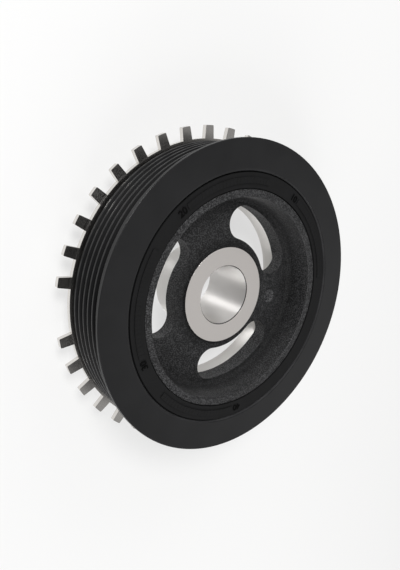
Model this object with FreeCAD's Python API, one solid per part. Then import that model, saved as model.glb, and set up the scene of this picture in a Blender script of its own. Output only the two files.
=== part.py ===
import FreeCAD, Part
import math
import os

# Sizes in millimetres.
# The part lies on its end: the Z axis is the pulley's axis, z = 0 is the rear
# end of the sleeve, the front face looks along +Z, and the X axis runs midway
# between two of the slots.

# overall
TOTAL_LENGTH = 38.0        # rear end of the sleeve to the front face of the ring

# bore, boss and sleeve
BORE_D = 27.0
BORE_CHAMFER = 0.3
BOSS_D = 44.2
BOSS_RISE = 2.1            # boss face above the web
BOSS_DRAFT = 0.5           # the boss is this much wider in radius at its foot
BOSS_FOOT_FILLET = 1.6
BOSS_EDGE_CHAMFER = 0.15
SLEEVE_D = 38.0
SLEEVE_CHAMFER = 0.8
SLEEVE_FOOT_FILLET = 2.0

# rim of the hub
RIM_D = 98.0               # outside of the rim, where the rubber is bonded on
RIM_REAR_CHAMFER = 0.6
LIP_DROP = 0.8             # front face of the ring down to the lip
LIP_WIDTH = 3.7            # outside of the rim in to the front cavity
LIP_INNER_ROUND = 0.4
LIP_REBATE_WIDTH = 0.5     # rebate round the outside of the lip, beside the rubber
LIP_REBATE_DEPTH = 1.0
CAVITY_SLOPE = 1.3         # the wall of the front cavity leans in by this much
CAVITY_FOOT_FILLET = 2.2

# web and its slots
WEB_DEPTH = 12.8           # front face of the ring down to the web
WEB_THICKNESS = 6.6
SLOT_COUNT = 3
SLOT_BOSS_LAND = 3.95      # web left between the boss and a slot
SLOT_RIM_LAND = 2.85       # web left between a slot and the wall of the cavity
SLOT_HALF_ANGLE = 24.7     # degrees, from the middle of a slot to the centre of its round end
SLOT_FIRST_ANGLE = 60.0    # degrees from the X axis to the middle of the first slot
SLOT_EDGE_ROUND = 0.3      # front edge of the slots
DIMPLE_D = 7.0
DIMPLE_FLOOR_D = 5.2
DIMPLE_DEPTH = 1.0
DIMPLE_PITCH_R = 31.6
DIMPLE_ANGLE = 1.8         # degrees from the X axis

# rubber ring
RUBBER_THICKNESS = 7.0     # between the hub's rim and the belt ring
RUBBER_DROP = 0.45         # front face of the ring down to the rubber
RUBBER_REAR_DROP = 1.5     # rear face of the ring in to the rubber
RUBBER_EDGE_WIDTH = 0.6    # step in the front of the rubber beside the belt ring
RUBBER_EDGE_DEPTH = 1.2
PAD_PLACES = 5             # equal places round the rubber
PAD_COUNT = 4              # the last place is left plain
PAD_FIRST_ANGLE = 16.8
PAD_SPAN = 49.0            # degrees
PAD_INNER_EDGE = 1.9       # rubber left between the hub's rim and a pad
PAD_OUTER_EDGE = 2.5       # rubber left between a pad and the belt ring
PAD_HEIGHT = 0.38
TICK_COUNT = 23
TICK_WIDTH = 0.3
TICK_HEIGHT = 0.05         # above the pad

# belt ring, from its front face back
RING_WALL = 10.7           # from the rubber out to the tops of the ribs
FLANGE_HEIGHT = 2.5        # front flange above the ribs
FLANGE_LAND = 1.3          # width of the outer land of the front flange
FLANGE_EDGE_ROUND = 0.3
FIRST_RIB_WIDTH = 2.38     # between the flange's slope and the first groove
GROOVE_COUNT = 5
GROOVE_PITCH = 3.56
GROOVE_DEPTH = 2.7
GROOVE_HALF_ANGLE = 20.0   # degrees
RIB_TOP_WIDTH = 0.96
RIB_TOP_ROUND = 0.28
GROOVE_FLOOR_ROUND = 0.2
LAST_RIB_WIDTH = 1.58      # behind the last groove
RING_FRONT_ROUND = 1.0     # front edge of the ring's bore
RING_REAR_CHAMFER = 0.5

# toothed wheel
PLATE_GAP = 1.4            # between the belt ring and the toothed plate
PLATE_THICKNESS = 2.2
TOOTH_PLACES = 36
MISSING_TOOTH_ANGLE = 193.0
TIP_D = 146.4              # over the teeth
TOOTH_HEIGHT = 5.6
TOOTH_ROOT_WIDTH = 4.8
TOOTH_TIP_WIDTH = 4.1
TOOTH_CORNER_R = 0.4
COLLAR_WALL = 2.4          # the collar fills its seat, flush with the outer walls of the slots
COLLAR_STOP_DEPTH = 1.3    # rear of the web down to the shoulder ahead of the collar
COLLAR_END_GAP = 0.1       # front end of the collar off that shoulder
COLLAR_CHAMFER = 0.5       # rear inner edge of the collar

# diameters that follow
RING_BORE_D = RIM_D + 2 * RUBBER_THICKNESS
BELT_D = RING_BORE_D + 2 * RING_WALL      # over the tops of the ribs
FLANGE_D = BELT_D + 2 * FLANGE_HEIGHT
ROOT_D = TIP_D - 2 * TOOTH_HEIGHT

# radii that follow
BORE_R = BORE_D / 2
BOSS_R = BOSS_D / 2
SLEEVE_R = SLEEVE_D / 2
RIM_R = RIM_D / 2
LIP_INNER_R = RIM_R - LIP_WIDTH
CAVITY_FOOT_R = LIP_INNER_R - CAVITY_SLOPE
SLOT_INNER_R = BOSS_R + SLOT_BOSS_LAND
SLOT_OUTER_R = CAVITY_FOOT_R - SLOT_RIM_LAND
SLOT_PITCH_R = (SLOT_INNER_R + SLOT_OUTER_R) / 2
SLOT_WIDTH = SLOT_OUTER_R - SLOT_INNER_R
COLLAR_BORE_R = SLOT_OUTER_R
SEAT_R = COLLAR_BORE_R + COLLAR_WALL
RING_BORE_R = RING_BORE_D / 2
PAD_INNER_R = RIM_R + PAD_INNER_EDGE
PAD_OUTER_R = RING_BORE_R - PAD_OUTER_EDGE
BELT_R = BELT_D / 2
FLANGE_R = FLANGE_D / 2
ROOT_R = ROOT_D / 2
TIP_R = TIP_D / 2

# heights that follow, above the rear end of the sleeve
FRONT_Z = TOTAL_LENGTH
WEB_FRONT_Z = FRONT_Z - WEB_DEPTH
WEB_REAR_Z = WEB_FRONT_Z - WEB_THICKNESS
COLLAR_STOP_Z = WEB_REAR_Z - COLLAR_STOP_DEPTH
BOSS_Z = WEB_FRONT_Z + BOSS_RISE
LIP_Z = FRONT_Z - LIP_DROP
GROOVE_TOP_HALF = (GROOVE_PITCH - RIB_TOP_WIDTH) / 2
GROOVE_FLOOR_HALF = GROOVE_TOP_HALF - GROOVE_DEPTH * math.tan(math.radians(GROOVE_HALF_ANGLE))
FLANGE_WIDTH = FLANGE_LAND + FLANGE_HEIGHT
FIRST_GROOVE_Z = FRONT_Z - FLANGE_WIDTH - FIRST_RIB_WIDTH - GROOVE_TOP_HALF
LAST_GROOVE_Z = FIRST_GROOVE_Z - (GROOVE_COUNT - 1) * GROOVE_PITCH
RING_REAR_Z = LAST_GROOVE_Z - GROOVE_TOP_HALF - LAST_RIB_WIDTH
RUBBER_FRONT_Z = FRONT_Z - RUBBER_DROP
RUBBER_REAR_Z = RING_REAR_Z + RUBBER_REAR_DROP
RIM_REAR_Z = RING_REAR_Z - PLATE_GAP
PLATE_REAR_Z = RIM_REAR_Z - PLATE_THICKNESS


def v3(r, z):
    return FreeCAD.Vector(r, 0, z)


def polar(r, angle, z):
    a = math.radians(angle)
    return FreeCAD.Vector(r * math.cos(a), r * math.sin(a), z)


def rounded_wire(corners):
    """Closed wire in the XZ plane. Each corner is (r, z, rounding)."""
    n = len(corners)
    ends = []
    for i, (r, z, rounding) in enumerate(corners):
        here = v3(r, z)
        if not rounding:
            ends.append((here, here, None))
            continue
        before = v3(*corners[i - 1][:2]) - here
        after = v3(*corners[(i + 1) % n][:2]) - here
        before.normalize()
        after.normalize()
        half = before.getAngle(after) / 2
        run = rounding / math.tan(half)
        middle = before + after
        middle.normalize()
        centre = here + middle * (rounding / math.sin(half))
        ends.append((here + before * run, here + after * run, centre - middle * rounding))
    edges = []
    for i in range(n):
        start, stop, top = ends[i]
        if top is not None:
            edges.append(Part.Arc(start, top, stop).toShape())
        follow = ends[(i + 1) % n][0]
        if (follow - stop).Length > 1e-6:
            edges.append(Part.LineSegment(stop, follow).toShape())
    return Part.Wire(edges)


def turned(corners):
    """Solid of revolution about the Z axis from a section of (r, z, rounding)."""
    face = Part.Face(rounded_wire(corners))
    return face.revolve(FreeCAD.Vector(0, 0, 0), FreeCAD.Vector(0, 0, 1), 360)


def sector(r_in, r_out, first, last, z_low, z_high):
    """Piece of a flat ring between two angles."""
    outer = [polar(r_out, a, z_low) for a in (first, (first + last) / 2, last)]
    inner = [polar(r_in, a, z_low) for a in (last, (first + last) / 2, first)]
    edges = [
        Part.Arc(*outer).toShape(),
        Part.LineSegment(outer[2], inner[0]).toShape(),
        Part.Arc(*inner).toShape(),
        Part.LineSegment(inner[2], outer[0]).toShape(),
    ]
    return Part.Face(Part.Wire(edges)).extrude(FreeCAD.Vector(0, 0, z_high - z_low))


def upright_edges(shape, radius):
    """Edges parallel to the axis that stand at one radius."""
    found = []
    for edge in shape.Edges:
        a, b = edge.Vertexes[0].Point, edge.Vertexes[-1].Point
        if abs(a.x - b.x) < 1e-6 and abs(a.y - b.y) < 1e-6 and abs(a.z - b.z) > 1e-6:
            if abs(math.hypot(a.x, a.y) - radius) < 1e-3:
                found.append(edge)
    return found


def slot_cutter(angle):
    """Curved slot with full round ends, through the web."""
    low = WEB_REAR_Z - COLLAR_STOP_DEPTH / 2
    first, last = angle - SLOT_HALF_ANGLE, angle + SLOT_HALF_ANGLE
    first_tip = polar(SLOT_PITCH_R, first, low) + polar(SLOT_WIDTH / 2, first - 90, 0)
    last_tip = polar(SLOT_PITCH_R, last, low) + polar(SLOT_WIDTH / 2, last + 90, 0)
    corners = [polar(SLOT_OUTER_R, first, low), polar(SLOT_OUTER_R, last, low),
               polar(SLOT_INNER_R, last, low), polar(SLOT_INNER_R, first, low)]
    edges = [
        Part.Arc(corners[0], polar(SLOT_OUTER_R, angle, low), corners[1]).toShape(),
        Part.Arc(corners[1], last_tip, corners[2]).toShape(),
        Part.Arc(corners[2], polar(SLOT_INNER_R, angle, low), corners[3]).toShape(),
        Part.Arc(corners[3], first_tip, corners[0]).toShape(),
    ]
    return Part.Face(Part.Wire(edges)).extrude(FreeCAD.Vector(0, 0, WEB_FRONT_Z + 1 - low))


def slot_rims(shape):
    """Edges where the slots meet the front face of the web."""
    found = []
    for edge in shape.Edges:
        box = edge.BoundBox
        if box.ZLength > 1e-6 or abs(box.ZMin - WEB_FRONT_Z) > 1e-6:
            continue
        point = edge.valueAt((edge.FirstParameter + edge.LastParameter) / 2)
        r = math.hypot(point.x, point.y)
        if abs(r - SLOT_PITCH_R) < SLOT_WIDTH / 2 + 1e-3 and not edge.isClosed():
            found.append(edge)
    return found


def make_hub():
    hub = turned([
        (BORE_R, BORE_CHAMFER, 0),
        (BORE_R + BORE_CHAMFER, 0, 0),
        (SLEEVE_R - SLEEVE_CHAMFER, 0, 0),
        (SLEEVE_R, SLEEVE_CHAMFER, 0),
        (SLEEVE_R, WEB_REAR_Z, SLEEVE_FOOT_FILLET),
        (COLLAR_BORE_R, WEB_REAR_Z, 0),
        (COLLAR_BORE_R, COLLAR_STOP_Z, 0),
        (SEAT_R, COLLAR_STOP_Z, 0),
        (SEAT_R, RIM_REAR_Z, 0),
        (RIM_R - RIM_REAR_CHAMFER, RIM_REAR_Z, 0),
        (RIM_R, RIM_REAR_Z + RIM_REAR_CHAMFER, 0),
        (RIM_R, LIP_Z - LIP_REBATE_DEPTH, 0),
        (RIM_R - LIP_REBATE_WIDTH, LIP_Z - LIP_REBATE_DEPTH, 0),
        (RIM_R - LIP_REBATE_WIDTH, LIP_Z, 0),
        (LIP_INNER_R, LIP_Z, LIP_INNER_ROUND),
        (CAVITY_FOOT_R, WEB_FRONT_Z, CAVITY_FOOT_FILLET),
        (BOSS_R + BOSS_DRAFT, WEB_FRONT_Z, BOSS_FOOT_FILLET),
        (BOSS_R, BOSS_Z - BOSS_EDGE_CHAMFER, 0),
        (BOSS_R - BOSS_EDGE_CHAMFER, BOSS_Z, 0),
        (BORE_R + BORE_CHAMFER, BOSS_Z, 0),
        (BORE_R, BOSS_Z - BORE_CHAMFER, 0),
    ])
    for i in range(SLOT_COUNT):
        hub = hub.cut(slot_cutter(SLOT_FIRST_ANGLE + i * 360.0 / SLOT_COUNT))
    hub = hub.makeFillet(SLOT_EDGE_ROUND, slot_rims(hub))
    slope = (DIMPLE_D - DIMPLE_FLOOR_D) / 2 / DIMPLE_DEPTH
    dimple = Part.makeCone(DIMPLE_FLOOR_D / 2, DIMPLE_D / 2 + slope, DIMPLE_DEPTH + 1,
                           polar(DIMPLE_PITCH_R, DIMPLE_ANGLE, WEB_FRONT_Z - DIMPLE_DEPTH))
    return hub.cut(dimple)


def dial_pad(first):
    """Low raised pad for the front of the rubber, with thin ticks across its top."""
    foot_z = RUBBER_FRONT_Z - RUBBER_EDGE_DEPTH
    pad_z = RUBBER_FRONT_Z + PAD_HEIGHT
    pad = sector(PAD_INNER_R, PAD_OUTER_R, first, first + PAD_SPAN, foot_z, pad_z)
    ticks = []
    for i in range(TICK_COUNT):
        tick = Part.makeBox(PAD_OUTER_R - PAD_INNER_R - TICK_WIDTH, TICK_WIDTH,
                            pad_z + TICK_HEIGHT - foot_z,
                            FreeCAD.Vector(PAD_INNER_R + TICK_WIDTH / 2, -TICK_WIDTH / 2, foot_z))
        tick.rotate(FreeCAD.Vector(0, 0, 0), FreeCAD.Vector(0, 0, 1),
                    first + PAD_SPAN * (i + 1) / (TICK_COUNT + 1))
        ticks.append(tick)
    return pad.fuse(ticks)


def make_rubber_ring():
    ring = turned([
        (RIM_R, RUBBER_REAR_Z, 0),
        (RING_BORE_R, RUBBER_REAR_Z, 0),
        (RING_BORE_R, RUBBER_FRONT_Z - RUBBER_EDGE_DEPTH, 0),
        (RING_BORE_R - RUBBER_EDGE_WIDTH, RUBBER_FRONT_Z - RUBBER_EDGE_DEPTH, 0),
        (RING_BORE_R - RUBBER_EDGE_WIDTH, RUBBER_FRONT_Z, 0),
        (RIM_R, RUBBER_FRONT_Z, 0),
    ])
    pads = [dial_pad(PAD_FIRST_ANGLE + i * 360.0 / PAD_PLACES) for i in range(PAD_COUNT)]
    return ring.fuse(pads).removeSplitter()


def make_pulley_ring():
    section = [
        (RING_BORE_R, FRONT_Z, RING_FRONT_ROUND),
        (FLANGE_R, FRONT_Z, FLANGE_EDGE_ROUND),
        (FLANGE_R, FRONT_Z - FLANGE_LAND, 0),
        (BELT_R, FRONT_Z - FLANGE_WIDTH, 0),
    ]
    for i in range(GROOVE_COUNT):
        z = FIRST_GROOVE_Z - i * GROOVE_PITCH
        section += [
            (BELT_R, z + GROOVE_TOP_HALF, RIB_TOP_ROUND),
            (BELT_R - GROOVE_DEPTH, z + GROOVE_FLOOR_HALF, GROOVE_FLOOR_ROUND),
            (BELT_R - GROOVE_DEPTH, z - GROOVE_FLOOR_HALF, GROOVE_FLOOR_ROUND),
            (BELT_R, z - GROOVE_TOP_HALF, RIB_TOP_ROUND),
        ]
    section += [
        (BELT_R, RING_REAR_Z + RING_REAR_CHAMFER, 0),
        (BELT_R - RING_REAR_CHAMFER, RING_REAR_Z, 0),
        (RING_BORE_R + RING_REAR_CHAMFER, RING_REAR_Z, 0),
        (RING_BORE_R, RING_REAR_Z + RING_REAR_CHAMFER, 0),
    ]
    return turned(section)


def toothed_outline(z):
    """Closed outline of the toothed plate, with one tooth left out."""
    pitch = 360.0 / TOOTH_PLACES
    root_half = math.degrees(math.asin(TOOTH_ROOT_WIDTH / 2 / ROOT_R))
    tip_half = math.degrees(math.asin(TOOTH_TIP_WIDTH / 2 / TIP_R))
    edges = []
    for i in range(1, TOOTH_PLACES):
        angle = MISSING_TOOTH_ANGLE + i * pitch
        tip_start, tip_end = polar(TIP_R, angle - tip_half, z), polar(TIP_R, angle + tip_half, z)
        root_end = angle + root_half
        next_root = angle + (2 if i == TOOTH_PLACES - 1 else 1) * pitch - root_half
        edges += [
            Part.LineSegment(polar(ROOT_R, angle - root_half, z), tip_start).toShape(),
            Part.Arc(tip_start, polar(TIP_R, angle, z), tip_end).toShape(),
            Part.LineSegment(tip_end, polar(ROOT_R, root_end, z)).toShape(),
            Part.Arc(polar(ROOT_R, root_end, z), polar(ROOT_R, (root_end + next_root) / 2, z),
                     polar(ROOT_R, next_root, z)).toShape(),
        ]
    return Part.Wire(edges)


def make_trigger_wheel():
    collar = turned([
        (COLLAR_BORE_R, COLLAR_STOP_Z - COLLAR_END_GAP, 0),
        (COLLAR_BORE_R, PLATE_REAR_Z + COLLAR_CHAMFER, 0),
        (COLLAR_BORE_R + COLLAR_CHAMFER, PLATE_REAR_Z, 0),
        (SEAT_R, PLATE_REAR_Z, 0),
        (SEAT_R, COLLAR_STOP_Z - COLLAR_END_GAP, 0),
    ])
    plate = Part.Face([toothed_outline(PLATE_REAR_Z)]).extrude(FreeCAD.Vector(0, 0, PLATE_THICKNESS))
    plate = plate.makeFillet(TOOTH_CORNER_R, upright_edges(plate, TIP_R))
    middle = Part.makeCylinder(SEAT_R, PLATE_THICKNESS + 2, FreeCAD.Vector(0, 0, PLATE_REAR_Z - 1))
    return collar.fuse(plate.cut(middle)).removeSplitter()


def save(name, shape):
    if shape.ShapeType == "Compound" and len(shape.Solids) == 1:
        shape = shape.Solids[0]
    if shape.ShapeType != "Solid" or not shape.isValid():
        raise ValueError(name + " is not one sound solid")
    shape.exportStep(os.path.join("parts", name + ".step"))


os.makedirs("parts", exist_ok=True)
save("hub", make_hub())
save("rubber_ring", make_rubber_ring())
save("pulley_ring", make_pulley_ring())
save("trigger_wheel", make_trigger_wheel())
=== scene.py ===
import math

import bpy
from mathutils import Matrix, Vector


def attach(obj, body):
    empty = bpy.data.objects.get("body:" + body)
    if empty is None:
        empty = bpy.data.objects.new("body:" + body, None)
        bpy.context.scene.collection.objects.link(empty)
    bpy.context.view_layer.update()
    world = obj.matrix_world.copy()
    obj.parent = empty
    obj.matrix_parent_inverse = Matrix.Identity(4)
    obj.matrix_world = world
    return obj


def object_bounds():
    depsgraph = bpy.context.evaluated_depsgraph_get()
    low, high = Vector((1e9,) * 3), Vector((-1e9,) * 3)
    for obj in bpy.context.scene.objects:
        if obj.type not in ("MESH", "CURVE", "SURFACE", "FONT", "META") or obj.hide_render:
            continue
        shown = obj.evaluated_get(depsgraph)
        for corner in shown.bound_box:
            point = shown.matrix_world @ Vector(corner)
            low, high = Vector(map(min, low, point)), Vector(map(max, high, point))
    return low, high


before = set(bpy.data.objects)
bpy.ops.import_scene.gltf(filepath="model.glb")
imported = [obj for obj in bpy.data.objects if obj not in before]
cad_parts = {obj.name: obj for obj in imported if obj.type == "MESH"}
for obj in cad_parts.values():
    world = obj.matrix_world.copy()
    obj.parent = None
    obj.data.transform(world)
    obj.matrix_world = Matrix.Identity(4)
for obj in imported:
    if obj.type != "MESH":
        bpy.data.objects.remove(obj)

bl_info = {
    "name": "Crankshaft pulley",
    "version": (1, 0, 0),
    "blender": (4, 5, 0),
    "location": "3D View > Sidebar > Pulley",
    "description": "Dresses a rubber-damped crankshaft pulley and sets its stage",
    "category": "Object",
}

MM = 0.001
BEYOND = 1.0                  # metres, past any surface of the pulley
CAD_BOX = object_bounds()
BODY = "root"


# colours and nodes

def linear(colour):
    """Linear RGB of an sRGB hex value."""
    channels = [int(colour[i:i + 2], 16) / 255 for i in (1, 3, 5)]
    return tuple(c / 12.92 if c <= 0.04045 else ((c + 0.055) / 1.055) ** 2.4 for c in channels)


def rgba(colour):
    return (*colour[:3], 1.0)


def add(tree, kind, inputs=None, **settings):
    """Adds a node. An input takes a value, another node's output, or a node for its first output in use."""
    node = tree.nodes.new(kind)
    for name, value in settings.items():
        setattr(node, name, value)
    for key, value in (inputs or {}).items():
        if isinstance(value, bpy.types.Node):
            value = next(output for output in value.outputs if output.enabled)
        if isinstance(value, bpy.types.NodeSocket):
            tree.links.new(value, node.inputs[key])
        else:
            node.inputs[key].default_value = value
    return node


def polar_place(tree):
    """Object coordinates, the distance from the pulley's axis and the height, in metres."""
    place = add(tree, "ShaderNodeTexCoord").outputs["Object"]
    x, y, height = add(tree, "ShaderNodeSeparateXYZ", {0: place}).outputs
    flat = add(tree, "ShaderNodeCombineXYZ", {0: x, 1: y})
    radius = add(tree, "ShaderNodeVectorMath", {0: flat}, operation="LENGTH")
    return place, radius, height


def within(tree, radius, height, outer, low=-BEYOND, high=BEYOND):
    """1 inside a cylinder about the axis, from one height to another, and 0 outside it."""
    near = add(tree, "ShaderNodeMath", {0: radius, 1: outer}, operation="LESS_THAN")
    above = add(tree, "ShaderNodeMath", {0: height, 1: low}, operation="GREATER_THAN")
    below = add(tree, "ShaderNodeMath", {0: height, 1: high}, operation="LESS_THAN")
    level = add(tree, "ShaderNodeMath", {0: above, 1: below}, operation="MULTIPLY")
    return add(tree, "ShaderNodeMath", {0: near, 1: level}, operation="MULTIPLY")


def turning_marks(tree, radius, height, pitch):
    """Rings left by a turning tool: across a face they follow the radius, along a wall the height."""
    along = add(tree, "ShaderNodeMath", {0: radius, 1: height}, operation="ADD")
    return add(tree, "ShaderNodeTexNoise", {"W": along, "Scale": 1 / pitch}, noise_dimensions="1D")


# materials

FINE_TURNING = 0.35 * MM      # pitch of the tool's marks on bright metal
COARSE_TURNING = 0.6 * MM     # the same under the belt ring's coat


def new_material(name):
    """A node material with nothing in it yet, and its node tree."""
    material = bpy.data.materials.new(name)
    material.use_nodes = True
    material.node_tree.nodes.clear()
    return material, material.node_tree


def dress(obj, material):
    """Gives an object its only material."""
    obj.data.materials.clear()
    obj.data.materials.append(material)


def smeared_walls(tree, place, radius, rings, colour):
    """Turned metal walls: the tool's marks run round them and smear what they mirror along the axis."""
    x, y = add(tree, "ShaderNodeSeparateXYZ", {0: place}).outputs[:2]
    across = add(tree, "ShaderNodeCombineXYZ", {0: x, 1: y, 2: radius})
    rough = add(tree, "ShaderNodeMapRange", {"Value": rings, "To Min": 0.4, "To Max": 0.48})
    return add(tree, "ShaderNodeBsdfPrincipled", {
        "Base Color": colour, "Roughness": rough, "Metallic": 1.0, "Anisotropic": 0.94, "Tangent": across})


# hub

class HubFinish(bpy.types.PropertyGroup):
    # The two tones of the casting's grain, hollows darker and raised grains lighter: partly the skin's own
    # tone and partly painted shade and light on its relief.
    coat_dark: bpy.props.FloatVectorProperty(
        name="Coat, dark", description="Hollows of the coated casting", subtype="COLOR", min=0, max=1,
        default=linear("#0F0F10"))
    coat_light: bpy.props.FloatVectorProperty(
        name="Coat, light", description="Grains of the coated casting", subtype="COLOR", min=0, max=1,
        default=linear("#404041"))
    bored: bpy.props.FloatVectorProperty(
        name="Bored metal", description="Wall of the bore", subtype="COLOR", min=0, max=1,
        default=linear("#E6E4E2"))
    ground: bpy.props.FloatVectorProperty(
        name="Ground metal", description="Outside of the sleeve", subtype="COLOR", min=0, max=1,
        default=linear("#F6F4F1"))
    face: bpy.props.FloatVectorProperty(
        name="Faced metal", description="Boss face", subtype="COLOR", min=0, max=1,
        default=linear("#E4DFDB"))
    grain: bpy.props.FloatProperty(
        name="Casting grain", description="Width of one grain of the casting", unit="LENGTH",
        default=0.5 * MM, min=0.1 * MM, max=3 * MM)
    relief: bpy.props.FloatProperty(
        name="Casting relief", description="Depth of the casting's grain", unit="LENGTH",
        default=0.2 * MM)
    mottle: bpy.props.FloatProperty(
        name="Mottle", description="Width of the coat's slow patches", unit="LENGTH",
        default=7 * MM)
    boss_radius: bpy.props.FloatProperty(
        name="Boss radius", description="Edge of the turned boss face", unit="LENGTH",
        default=21.96 * MM)
    boss_height: bpy.props.FloatProperty(
        name="Boss height", description="Height at which the turned boss face begins", unit="LENGTH",
        default=26.98 * MM)
    bore_radius: bpy.props.FloatProperty(
        name="Bore radius", description="Limit of the bored wall", unit="LENGTH",
        default=13.52 * MM)
    bore_edge: bpy.props.FloatProperty(
        name="Bore edge", description="Limit of the bore's chamfer", unit="LENGTH",
        default=13.78 * MM)
    sleeve_radius: bpy.props.FloatProperty(
        name="Sleeve radius", description="Limit of the turned sleeve", unit="LENGTH",
        default=19.2 * MM)
    sleeve_top: bpy.props.FloatProperty(
        name="Sleeve top", description="Height at which the turned sleeve meets the casting", unit="LENGTH",
        default=16.9 * MM)
    web_height: bpy.props.FloatProperty(
        name="Web height", description="Height of the web's face, above the slots' walls", unit="LENGTH",
        default=25 * MM)
    # The coat is drawn darkest at the web's height and lightest at this one: painted shade and light.
    lip_height: bpy.props.FloatProperty(
        name="Lip height", description="Height at which the coat is thinnest", unit="LENGTH",
        default=37 * MM)


# Painted shade round the feet of boss and rim, where it begins and is darkest: radii at boss and rim, and
# heights at the rim.
BOSS_FOOT_SHADE = {"From Min": 27.5 * MM, "From Max": 22.5 * MM}
RIM_FOOT_SHADE = {"From Min": 39.5 * MM, "From Max": 43.6 * MM}
RIM_FOOT_SHADE_HEIGHT = {"From Min": 31.5 * MM, "From Max": 26.0 * MM}
PAINTED_FOOT_SHADE = -0.45            # painted shade: change in the coat's lightness round the feet, as a share of it
FOOT_DULLNESS = 0.3           # change in its roughness there
SLOT_PAINTED_LIGHT = 1.3           # painted light: change in the coat's lightness on the walls of the slots, as a share of it
FACE_MARGIN = 0.05 * MM       # how far below the web's face those walls are taken to begin


def foot_shade_mask(tree, radius, height):
    """1 round the foot of the boss and along the foot of the rim, where the coat is painted darker and is
    duller, and 0 elsewhere.
    """
    boss = add(tree, "ShaderNodeMapRange", {"Value": radius, **BOSS_FOOT_SHADE})
    rim = add(tree, "ShaderNodeMapRange", {"Value": radius, **RIM_FOOT_SHADE})
    low = add(tree, "ShaderNodeMapRange", {"Value": height, **RIM_FOOT_SHADE_HEIGHT})
    foot = add(tree, "ShaderNodeMath", {0: rim, 1: low}, operation="MULTIPLY")
    return add(tree, "ShaderNodeMath", {0: boss, 1: foot}, operation="MAXIMUM")


def coat_tone(tree, finish, place, height, foot_shade):
    """How light the coat is: a slow mottle, with painted shade down on the web and round the feet of the boss
    and the rim, and painted light towards the lip and on the walls of the slots.
    """
    patches = add(tree, "ShaderNodeTexNoise", {"Vector": place, "Scale": 1 / finish.mottle})
    mottle = add(tree, "ShaderNodeMapRange", {
        "Value": patches, "From Min": 0.3, "From Max": 0.7, "To Min": 0.9, "To Max": 1.1})
    # Painted shade and light: darker down on the web, lighter up towards the lip.
    hollow_shading = add(tree, "ShaderNodeMapRange", {
        "Value": height, "From Min": finish.web_height, "From Max": finish.lip_height,
        "To Min": 0.86, "To Max": 1.2})
    # The walls of the slots, below the web's face, are painted lighter: painted light.
    slots = add(tree, "ShaderNodeMath", {0: height, 1: finish.web_height - FACE_MARGIN},
                operation="LESS_THAN")
    slot_light = add(tree, "ShaderNodeMath", {0: slots, 1: SLOT_PAINTED_LIGHT, 2: 1.0}, operation="MULTIPLY_ADD")
    # Painted shade: darker round the feet of the boss and the rim.
    dark = add(tree, "ShaderNodeMath", {0: foot_shade, 1: PAINTED_FOOT_SHADE, 2: 1.0}, operation="MULTIPLY_ADD")
    tone = mottle
    for share in (hollow_shading, slot_light, dark):
        tone = add(tree, "ShaderNodeMath", {0: tone, 1: share}, operation="MULTIPLY")
    return tone


def casting_shader(tree, finish, place, radius, height):
    # The coated skin: two tones in grains of coarse moulding sand, drawn coarser than the real 0.2 mm so that
    # they show, the raised grains lighter, partly painted light, a slow mottle over them, and relief that
    # glints grain by grain. Round the feet of the boss and the rim it is duller and painted darker: painted
    # shade.
    grain = add(tree, "ShaderNodeTexNoise", {
        "Vector": place, "Scale": 1 / finish.grain, "Roughness": 0.65})
    # Painted light and shade: the raised grains take the lighter tone and the hollows the darker one.
    raised = add(tree, "ShaderNodeMapRange", {"Value": grain, "From Min": 0.46, "From Max": 0.62})
    skin = add(tree, "ShaderNodeMix", {
        "Factor": raised, "A": rgba(finish.coat_dark), "B": rgba(finish.coat_light)}, data_type="RGBA")
    foot_shade = foot_shade_mask(tree, radius, height)
    tone = coat_tone(tree, finish, place, height, foot_shade)
    colour = add(tree, "ShaderNodeVectorMath", {0: skin, 1: tone}, operation="MULTIPLY")
    matte = add(tree, "ShaderNodeMapRange", {"Value": grain, "To Min": 0.62, "To Max": 0.42})
    rough = add(tree, "ShaderNodeMath", {0: foot_shade, 1: FOOT_DULLNESS, 2: matte}, operation="MULTIPLY_ADD")
    relief = add(tree, "ShaderNodeBump", {"Height": grain, "Strength": 1.0, "Distance": finish.relief})
    return add(tree, "ShaderNodeBsdfPrincipled", {
        "Base Color": colour, "Roughness": rough, "Specular IOR Level": 0.3, "Normal": relief})


def hub_material(finish):
    # Sand-cast iron under a thin black coat, turned bright where it mates: the casting is a dark, matte,
    # sandy skin that glints grain by grain, the faced boss is an even warm grey, and the bored and turned
    # walls smear what they mirror along the axis, because the tool's marks run round them.
    material, tree = new_material("coated_cast_iron_turned_bright")
    place, radius, height = polar_place(tree)
    rings = turning_marks(tree, radius, height, FINE_TURNING)
    # The broken edge of the bore takes the coat's dark colour, a thin dark line.
    edge = within(tree, radius, height, finish.bore_edge, low=finish.boss_height)
    face = add(tree, "ShaderNodeMix", {
        "Factor": edge, "A": rgba(finish.face), "B": rgba(finish.coat_dark)}, data_type="RGBA")
    face_rough = add(tree, "ShaderNodeMapRange", {"Value": rings, "To Min": 0.36, "To Max": 0.44})
    faced = add(tree, "ShaderNodeBsdfPrincipled", {
        "Base Color": face, "Roughness": face_rough, "Metallic": 1.0})
    boss = within(tree, radius, height, finish.boss_radius, low=finish.boss_height)
    front = add(tree, "ShaderNodeMixShader", {
        0: boss, 1: casting_shader(tree, finish, place, radius, height), 2: faced})
    bore = within(tree, radius, height, finish.bore_radius, high=finish.boss_height)
    bright = add(tree, "ShaderNodeMix", {
        "Factor": bore, "A": rgba(finish.ground), "B": rgba(finish.bored)}, data_type="RGBA")
    sleeve = within(tree, radius, height, finish.sleeve_radius, high=finish.sleeve_top)
    turned = add(tree, "ShaderNodeMath", {0: bore, 1: sleeve}, operation="MAXIMUM")
    surface = add(tree, "ShaderNodeMixShader", {
        0: turned, 1: front, 2: smeared_walls(tree, place, radius, rings, bright)})
    add(tree, "ShaderNodeOutputMaterial", {"Surface": surface})
    return material


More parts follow.
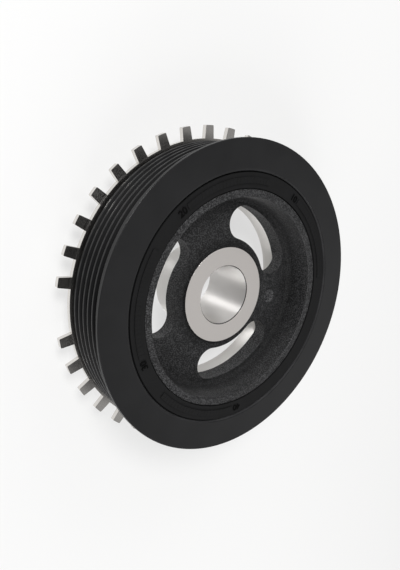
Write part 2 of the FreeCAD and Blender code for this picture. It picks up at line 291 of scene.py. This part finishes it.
class PULLEY_OT_hub(bpy.types.Operator):
    """Finishes the hub: a black-coated casting, turned bright on boss face, bore and sleeve"""
    bl_idname = "pulley.hub"
    bl_label = "Hub"

    def execute(self, context):
        dress(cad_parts["hub"], hub_material(context.scene.pulley_hub))
        return {"FINISHED"}


# rubber ring and its numbers

class RubberFinish(bpy.types.PropertyGroup):
    colour: bpy.props.FloatVectorProperty(
        name="Rubber", description="Colour of the moulded rubber", subtype="COLOR", min=0, max=1,
        default=linear("#0F0F0F"))
    bloom: bpy.props.FloatVectorProperty(
        name="Bloom", description="Paler patches on the rubber", subtype="COLOR", min=0, max=1,
        default=linear("#161617"))
    # Painted shade: the figures are drawn darker than the rubber round them.
    figure: bpy.props.FloatVectorProperty(
        name="Figures", description="Darkest tone of the raised figures", subtype="COLOR", min=0, max=1,
        default=linear("#030303"))
    tooth: bpy.props.FloatProperty(
        name="Tooth", description="Width of the rubber's finest grain", unit="LENGTH",
        default=0.4 * MM)
    first_number: bpy.props.IntProperty(
        name="First number", description="Number beside the first pad", default=10, min=1, max=99)
    number_step: bpy.props.IntProperty(
        name="Step", description="Step from one number to the next", default=10, min=1, max=20)
    number_size: bpy.props.FloatProperty(
        name="Number size", description="Height of the figures", unit="LENGTH",
        default=3.1 * MM)
    number_relief: bpy.props.FloatProperty(
        name="Relief", description="How far the figures stand up from the rubber", unit="LENGTH",
        default=0.3 * MM)
    number_radius: bpy.props.FloatProperty(
        name="Number radius", description="Distance of the figures' middle from the axis", unit="LENGTH",
        default=52.1 * MM)
    face_height: bpy.props.FloatProperty(
        name="Face height", description="Height of the rubber's front face", unit="LENGTH",
        default=37.55 * MM)


BLOOM_PATCH = 5 * MM          # width of the bloom's patches


def rubber_material(finish):
    # Natural rubber moulded in a blasted tool: almost black and matte, with a very fine tooth and a faint
    # bloom.
    material, tree = new_material("moulded_rubber")
    place = add(tree, "ShaderNodeTexCoord").outputs["Object"]
    patches = add(tree, "ShaderNodeTexNoise", {"Vector": place, "Scale": 1 / BLOOM_PATCH, "Detail": 4.0})
    colour = add(tree, "ShaderNodeMix", {
        "Factor": patches, "A": rgba(finish.colour), "B": rgba(finish.bloom)}, data_type="RGBA")
    rough = add(tree, "ShaderNodeMapRange", {"Value": patches, "To Min": 0.6, "To Max": 0.75})
    grain = add(tree, "ShaderNodeTexNoise", {"Vector": place, "Scale": 1 / finish.tooth, "Detail": 1.0})
    tooth = add(tree, "ShaderNodeBump", {"Height": grain, "Strength": 0.15, "Distance": 0.03 * MM})
    rubber = add(tree, "ShaderNodeBsdfPrincipled", {
        "Base Color": colour, "Roughness": rough, "Specular IOR Level": 0.16, "Normal": tooth})
    add(tree, "ShaderNodeOutputMaterial", {"Surface": rubber})
    return material


def figure_material(finish):
    # The raised figures shine less than the rubber round them, and they are painted darker than it: painted
    # shade, for the shade at their sides.
    material, tree = new_material("moulded_rubber_figures")
    place = add(tree, "ShaderNodeTexCoord").outputs["Object"]
    grain = add(tree, "ShaderNodeTexNoise", {"Vector": place, "Scale": 1 / finish.tooth, "Detail": 1.0})
    colour = add(tree, "ShaderNodeMix", {
        "Factor": grain, "A": rgba(finish.figure), "B": rgba(finish.colour)}, data_type="RGBA")
    rough = add(tree, "ShaderNodeMapRange", {"Value": grain, "To Min": 0.8, "To Max": 0.95})
    rubber = add(tree, "ShaderNodeBsdfPrincipled", {
        "Base Color": colour, "Roughness": rough, "Specular IOR Level": 0.05})
    add(tree, "ShaderNodeOutputMaterial", {"Surface": rubber})
    return material


class PULLEY_OT_rubber_ring(bpy.types.Operator):
    """Finishes the rubber ring between the hub and the belt ring"""
    bl_idname = "pulley.rubber_ring"
    bl_label = "Rubber ring"

    def execute(self, context):
        dress(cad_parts["rubber_ring"], rubber_material(context.scene.pulley_rubber))
        return {"FINISHED"}


# The numbers stand just past the end of each pad, with their tops outward.
NUMBER_COUNT = 4
FIRST_NUMBER_ANGLE = 69.1     # degrees
NUMBER_PITCH = 72.0           # degrees
FONT_OVER_FIGURE = 1.35       # size of the font over the height of its figures
FIGURE_BEVEL = 0.04 * MM
WELD = 0.001 * MM


class PULLEY_OT_dial_numbers(bpy.types.Operator):
    """Adds the plain moulded numbers beside the pads of the rubber ring"""
    bl_idname = "pulley.dial_numbers"
    bl_label = "Dial numbers"

    def execute(self, context):
        finish = context.scene.pulley_rubber
        material = figure_material(finish)
        for i in range(NUMBER_COUNT):
            angle = math.radians(FIRST_NUMBER_ANGLE + i * NUMBER_PITCH)
            bpy.ops.object.select_all(action="DESELECT")
            bpy.ops.object.text_add()
            text = context.object
            text.data.body = str(finish.first_number + i * finish.number_step)
            text.data.align_x = "CENTER"
            text.data.align_y = "CENTER"
            text.data.size = finish.number_size * FONT_OVER_FIGURE
            text.data.extrude = finish.number_relief / 2
            text.data.bevel_depth = FIGURE_BEVEL
            text.data.bevel_resolution = 1
            bpy.ops.object.convert(target="MESH")
            number = context.object
            number.name = "dial_number_%d" % (i + 1)
            number.rotation_euler = (0, 0, angle - math.pi / 2)
            number.location = (finish.number_radius * math.cos(angle), finish.number_radius * math.sin(angle),
                               finish.face_height + finish.number_relief / 2)
            bpy.ops.object.transform_apply(location=True, rotation=True, scale=True)
            bpy.ops.object.mode_set(mode="EDIT")
            bpy.ops.mesh.select_all(action="SELECT")
            bpy.ops.mesh.remove_doubles(threshold=WELD)
            bpy.ops.mesh.normals_make_consistent(inside=False)
            bpy.ops.object.mode_set(mode="OBJECT")
            dress(number, material)
            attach(number, BODY)
        return {"FINISHED"}


# belt ring

class RingFinish(bpy.types.PropertyGroup):
    coat: bpy.props.FloatVectorProperty(
        name="Coat", description="Black coat of the belt ring", subtype="COLOR", min=0, max=1,
        default=linear("#121213"))
    pale: bpy.props.FloatVectorProperty(
        name="Pale coat", description="Paler patches of the coat", subtype="COLOR", min=0, max=1,
        default=linear("#1C1C1D"))
    # Painted shade: the coat in the grooves is drawn darker.
    groove: bpy.props.FloatVectorProperty(
        name="Grooves", description="Thick coat in the grooves", subtype="COLOR", min=0, max=1,
        default=linear("#070708"))
    # A matte film of rubber, drawn paler than the coat: painted light against the shade beside the rubber.
    film: bpy.props.FloatVectorProperty(
        name="Film", description="Dusty film on the wall beside the rubber", subtype="COLOR", min=0, max=1,
        default=linear("#3C3C3D"))
    inner_radius: bpy.props.FloatProperty(
        name="Inner radius", description="Limit of the wall beside the rubber", unit="LENGTH",
        default=56.5 * MM)
    rib_radius: bpy.props.FloatProperty(
        name="Rib radius", description="Radius below which the coat is that of the grooves", unit="LENGTH",
        default=66.6 * MM)
    flange_height: bpy.props.FloatProperty(
        name="Flange height", description="Height below which the coat is that of the grooves", unit="LENGTH",
        default=34.0 * MM)
    front_height: bpy.props.FloatProperty(
        name="Front height", description="Height above which the coat is rubbed smooth", unit="LENGTH",
        default=37.5 * MM)


COAT_DRIFT = 12 * MM          # width of the coat's slow changes
UNRUBBED = 0.16               # change in the coat's roughness where it isn't rubbed smooth


def ring_material(finish):
    # Turned iron under a baked black coat: smooth and satin, darker than the casting, with the faintest
    # rings. Its inner wall carries a matte film of rubber from the mould, drawn paler: painted light. In the
    # grooves the coat is dull and drawn darker: painted shade.
    material, tree = new_material("baked_black_coat")
    place, radius, height = polar_place(tree)
    drift = add(tree, "ShaderNodeTexNoise", {"Vector": place, "Scale": 1 / COAT_DRIFT, "Detail": 3.0})
    # Only the front face is rubbed smooth. The belt's side and the edges are as they came from the oven.
    rubbed = add(tree, "ShaderNodeMapRange", {"Value": drift, "To Min": 0.28, "To Max": 0.36})
    side = add(tree, "ShaderNodeMath", {0: height, 1: finish.front_height}, operation="LESS_THAN")
    rough = add(tree, "ShaderNodeMath", {0: side, 1: UNRUBBED, 2: rubbed}, operation="MULTIPLY_ADD")
    marks = turning_marks(tree, radius, height, COARSE_TURNING)
    rings = add(tree, "ShaderNodeBump", {"Height": marks, "Strength": 0.03, "Distance": 0.02 * MM})
    coats = []
    for first, second, inputs in (
            (finish.coat, finish.pale, {"Roughness": rough, "Specular IOR Level": 0.3, "Normal": rings}),
            (finish.groove, finish.coat, {"Roughness": rough, "Specular IOR Level": 0.15}),
            (finish.pale, finish.film, {"Roughness": 0.7, "Specular IOR Level": 0.1})):
        colour = add(tree, "ShaderNodeMix", {
            "Factor": drift, "A": rgba(first), "B": rgba(second)}, data_type="RGBA")
        coats.append(add(tree, "ShaderNodeBsdfPrincipled", {"Base Color": colour, **inputs}))
    satin, dull, film = coats
    # Painted shade: the grooves take the darker coat.
    grooves = within(tree, radius, height, finish.rib_radius, high=finish.flange_height)
    outside = add(tree, "ShaderNodeMixShader", {0: grooves, 1: satin, 2: dull})
    # Painted light: the wall beside the rubber takes the pale film.
    inner_wall = within(tree, radius, height, finish.inner_radius)
    surface = add(tree, "ShaderNodeMixShader", {0: inner_wall, 1: outside, 2: film})
    add(tree, "ShaderNodeOutputMaterial", {"Surface": surface})
    return material


class PULLEY_OT_belt_ring(bpy.types.Operator):
    """Finishes the belt ring with its black coat"""
    bl_idname = "pulley.belt_ring"
    bl_label = "Belt ring"

    def execute(self, context):
        dress(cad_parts["pulley_ring"], ring_material(context.scene.pulley_ring))
        return {"FINISHED"}


# toothed wheel

class WheelFinish(bpy.types.PropertyGroup):
    steel: bpy.props.FloatVectorProperty(
        name="Steel", description="Faces of the toothed wheel", subtype="COLOR", min=0, max=1,
        default=linear("#CFCCC8"))
    cut: bpy.props.FloatVectorProperty(
        name="Cut edge", description="Edges cut by the press", subtype="COLOR", min=0, max=1,
        default=linear("#DDDAD6"))
    turned: bpy.props.FloatVectorProperty(
        name="Turned wall", description="Fresh wall inside the collar", subtype="COLOR", min=0, max=1,
        default=linear("#FBF9F6"))
    collar_radius: bpy.props.FloatProperty(
        name="Collar radius", description="Limit of the collar's turned inner wall", unit="LENGTH",
        default=41.3 * MM)


SHEET_CLOUD = 4 * MM          # width of the cloudy patches that rolling leaves
CUT_EDGE = 0.5                # height of a unit normal, below which a face is a cut edge


def wheel_material(finish):
    # Bright sheet steel, pressed and turned: a soft grey mirror, cloudy from rolling, paler where it is cut,
    # with a turned wall inside the collar.
    material, tree = new_material("pressed_bright_steel")
    place, radius, height = polar_place(tree)
    normal = add(tree, "ShaderNodeTexCoord").outputs["Normal"]
    upward = add(tree, "ShaderNodeSeparateXYZ", {0: normal}).outputs["Z"]
    level = add(tree, "ShaderNodeMath", {0: upward}, operation="ABSOLUTE")
    cut = add(tree, "ShaderNodeMath", {0: level, 1: CUT_EDGE}, operation="LESS_THAN")
    steel = add(tree, "ShaderNodeMix", {
        "Factor": cut, "A": rgba(finish.steel), "B": rgba(finish.cut)}, data_type="RGBA")
    cloud = add(tree, "ShaderNodeTexNoise", {"Vector": place, "Scale": 1 / SHEET_CLOUD, "Detail": 4.0})
    rough = add(tree, "ShaderNodeMapRange", {
        "Value": cloud, "From Min": 0.3, "From Max": 0.7, "To Min": 0.22, "To Max": 0.26})
    sheet = add(tree, "ShaderNodeBsdfPrincipled", {
        "Base Color": steel, "Roughness": rough, "Metallic": 1.0})
    rings = turning_marks(tree, radius, height, FINE_TURNING)
    bright = add(tree, "ShaderNodeMix", {
        "Factor": rings, "A": rgba(finish.cut), "B": rgba(finish.turned)}, data_type="RGBA")
    collar = within(tree, radius, height, finish.collar_radius)
    surface = add(tree, "ShaderNodeMixShader", {
        0: collar, 1: sheet, 2: smeared_walls(tree, place, radius, rings, bright)})
    add(tree, "ShaderNodeOutputMaterial", {"Surface": surface})
    return material


class PULLEY_OT_toothed_wheel(bpy.types.Operator):
    """Finishes the toothed sensor wheel behind the belt ring"""
    bl_idname = "pulley.toothed_wheel"
    bl_label = "Toothed wheel"

    def execute(self, context):
        dress(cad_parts["trigger_wheel"], wheel_material(context.scene.pulley_wheel))
        return {"FINISHED"}


# stage

class StageSetup(bpy.types.PropertyGroup):
    floor: bpy.props.FloatVectorProperty(
        name="Floor", description="Colour of the paper floor", subtype="COLOR", min=0, max=1,
        default=linear("#EDEDEC"))
    sky: bpy.props.FloatProperty(
        name="Room light", description="Strength of the even light all round", subtype="FACTOR",
        default=0.33, min=0, max=2)
    key: bpy.props.FloatProperty(
        name="Key light", description="Power of the large lower lamp", subtype="POWER",
        default=5.6, min=0, max=100)
    glow: bpy.props.FloatProperty(
        name="Paper glow", description="Brightness of the paper's even tone", subtype="FACTOR",
        default=0.92, min=0, max=1)
    glow_share: bpy.props.FloatProperty(
        name="Glow share", description="Share of that tone where the lens or a mirror sees the paper",
        subtype="FACTOR", default=0.65, min=0, max=1)


FLOOR_SIZE = 6.0              # metres
LAMP_DISTANCE = 0.9           # metres from the middle of the pulley
# Each lamp: name, azimuth and elevation of its place in degrees, width in metres, share of the key's power.
LAMPS = (
    ("lower_lamp", 270.0, 18.0, 0.7, 1.0),
    ("upper_lamp", 90.0, 18.0, 0.7, 0.58),
    ("bore_lamp", 134.0, 47.0, 0.28, 1.0),
    ("fill_lamp", 252.0, 47.0, 0.25, 0.18),
    ("face_lamp", -14.0, 46.0, 0.6, 0.055),
)
# The camera's place in the pulley's own frame, the side it looks from, and its turn about its own axis.
CAMERA_PLACE = (-0.1655, 0.0364, 0.1996)
CAMERA_AZIMUTH = 167.80       # degrees
CAMERA_ELEVATION = 48.04      # degrees
CAMERA_ROLL = 111.66          # degrees
CAMERA_CLIP = 10 * MM
IMAGE_HEIGHT = 570            # pixels
FOCAL_LENGTH = 535.5          # pixels
OPTICAL_CENTRE = 2.6          # pixels to the right of the image's middle


def direction(azimuth, elevation):
    """The unit vector towards a place given by its azimuth and elevation in degrees."""
    a, e = math.radians(azimuth), math.radians(elevation)
    return Vector((math.cos(a) * math.cos(e), math.sin(a) * math.cos(e), math.sin(e)))


def paper_material(setup):
    # Matt studio paper: it takes a soft shadow, and it stays pale where the lens or a mirror looks
    # straight at it.
    material, tree = new_material("studio_paper")
    paper = add(tree, "ShaderNodeBsdfDiffuse", {"Color": rgba(setup.floor)})
    glow = add(tree, "ShaderNodeEmission", {"Color": rgba([setup.glow] * 3), "Strength": 1.0})
    ray = add(tree, "ShaderNodeLightPath").outputs
    mirrored = add(tree, "ShaderNodeMath", {0: ray["Is Glossy Ray"], 1: ray["Is Transmission Ray"]},
                   operation="MAXIMUM")
    seen = add(tree, "ShaderNodeMath", {0: ray["Is Camera Ray"], 1: mirrored}, operation="MAXIMUM")
    share = add(tree, "ShaderNodeMath", {0: seen, 1: setup.glow_share}, operation="MULTIPLY")
    surface = add(tree, "ShaderNodeMixShader", {0: share, 1: paper, 2: glow})
    add(tree, "ShaderNodeOutputMaterial", {"Surface": surface})
    return material


def lay_floor(context, setup):
    bpy.ops.mesh.primitive_plane_add(size=FLOOR_SIZE)
    floor = context.object
    floor.name = "floor"
    dress(floor, paper_material(setup))


def light_room(context, setup):
    world = bpy.data.worlds.new("studio_room")
    world.use_nodes = True
    world.node_tree.nodes.clear()
    room = add(world.node_tree, "ShaderNodeBackground", {"Color": (1, 1, 1, 1), "Strength": setup.sky})
    add(world.node_tree, "ShaderNodeOutputWorld", {"Surface": room})
    context.scene.world = world


def hang_lamps(context, setup):
    middle = (Vector(CAD_BOX[0]) + Vector(CAD_BOX[1])) / 2
    for name, azimuth, elevation, width, share in LAMPS:
        away = direction(azimuth, elevation)
        bpy.ops.object.light_add(type="AREA", location=middle + away * LAMP_DISTANCE,
                                 rotation=away.to_track_quat("Z", "Y").to_euler())
        lamp = context.object
        lamp.name = name
        lamp.data.shape = "DISK"
        lamp.data.size = width
        lamp.data.energy = setup.key * share


def set_camera(context):
    back = direction(CAMERA_AZIMUTH, CAMERA_ELEVATION)
    level = Vector((0, 0, 1)).cross(back).normalized()
    roll = Matrix.Rotation(math.radians(CAMERA_ROLL), 3, back)
    right = roll @ level
    place = Matrix((right, back.cross(right), back)).transposed().to_4x4()
    place.translation = CAMERA_PLACE
    bpy.ops.object.camera_add()
    camera = context.object
    camera.matrix_world = place
    camera.data.sensor_fit = "VERTICAL"
    camera.data.lens = FOCAL_LENGTH / IMAGE_HEIGHT * camera.data.sensor_height
    camera.data.shift_x = -OPTICAL_CENTRE / IMAGE_HEIGHT
    camera.data.clip_start = CAMERA_CLIP
    context.scene.camera = camera
    context.scene.view_settings.view_transform = "Standard"


class PULLEY_OT_stage(bpy.types.Operator):
    """Lays the pale floor, hangs the lamps and sets up the camera"""
    bl_idname = "pulley.stage"
    bl_label = "Stage"

    def execute(self, context):
        setup = context.scene.pulley_stage
        bpy.ops.object.select_all(action="DESELECT")
        lay_floor(context, setup)
        light_room(context, setup)
        hang_lamps(context, setup)
        set_camera(context)
        return {"FINISHED"}


# sidebar and registration

OPERATORS = (PULLEY_OT_hub, PULLEY_OT_rubber_ring, PULLEY_OT_dial_numbers, PULLEY_OT_belt_ring,
             PULLEY_OT_toothed_wheel, PULLEY_OT_stage)
GROUPS = {"pulley_hub": HubFinish, "pulley_rubber": RubberFinish, "pulley_ring": RingFinish,
          "pulley_wheel": WheelFinish, "pulley_stage": StageSetup}


class VIEW3D_PT_pulley(bpy.types.Panel):
    """Lists the pulley's pieces and the sizes and colours that they take"""
    bl_label = "Crankshaft pulley"
    bl_space_type = "VIEW_3D"
    bl_region_type = "UI"
    bl_category = "Pulley"

    def draw(self, context):
        for operator in OPERATORS:
            self.layout.operator(operator.bl_idname)
        for name, group in GROUPS.items():
            box = self.layout.box()
            for prop in group.__annotations__:
                box.prop(getattr(context.scene, name), prop)


CLASSES = (*GROUPS.values(), *OPERATORS, VIEW3D_PT_pulley)


def register():
    for item in CLASSES:
        bpy.utils.register_class(item)
    for name, group in GROUPS.items():
        setattr(bpy.types.Scene, name, bpy.props.PointerProperty(type=group))


def unregister():
    for name in GROUPS:
        delattr(bpy.types.Scene, name)
    for item in reversed(CLASSES):
        bpy.utils.unregister_class(item)


def main():
    register()
    bpy.ops.pulley.hub()
    bpy.ops.pulley.rubber_ring()
    bpy.ops.pulley.dial_numbers()
    bpy.ops.pulley.belt_ring()
    bpy.ops.pulley.toothed_wheel()
    bpy.ops.pulley.stage()


if __name__ == "__main__":
    main()
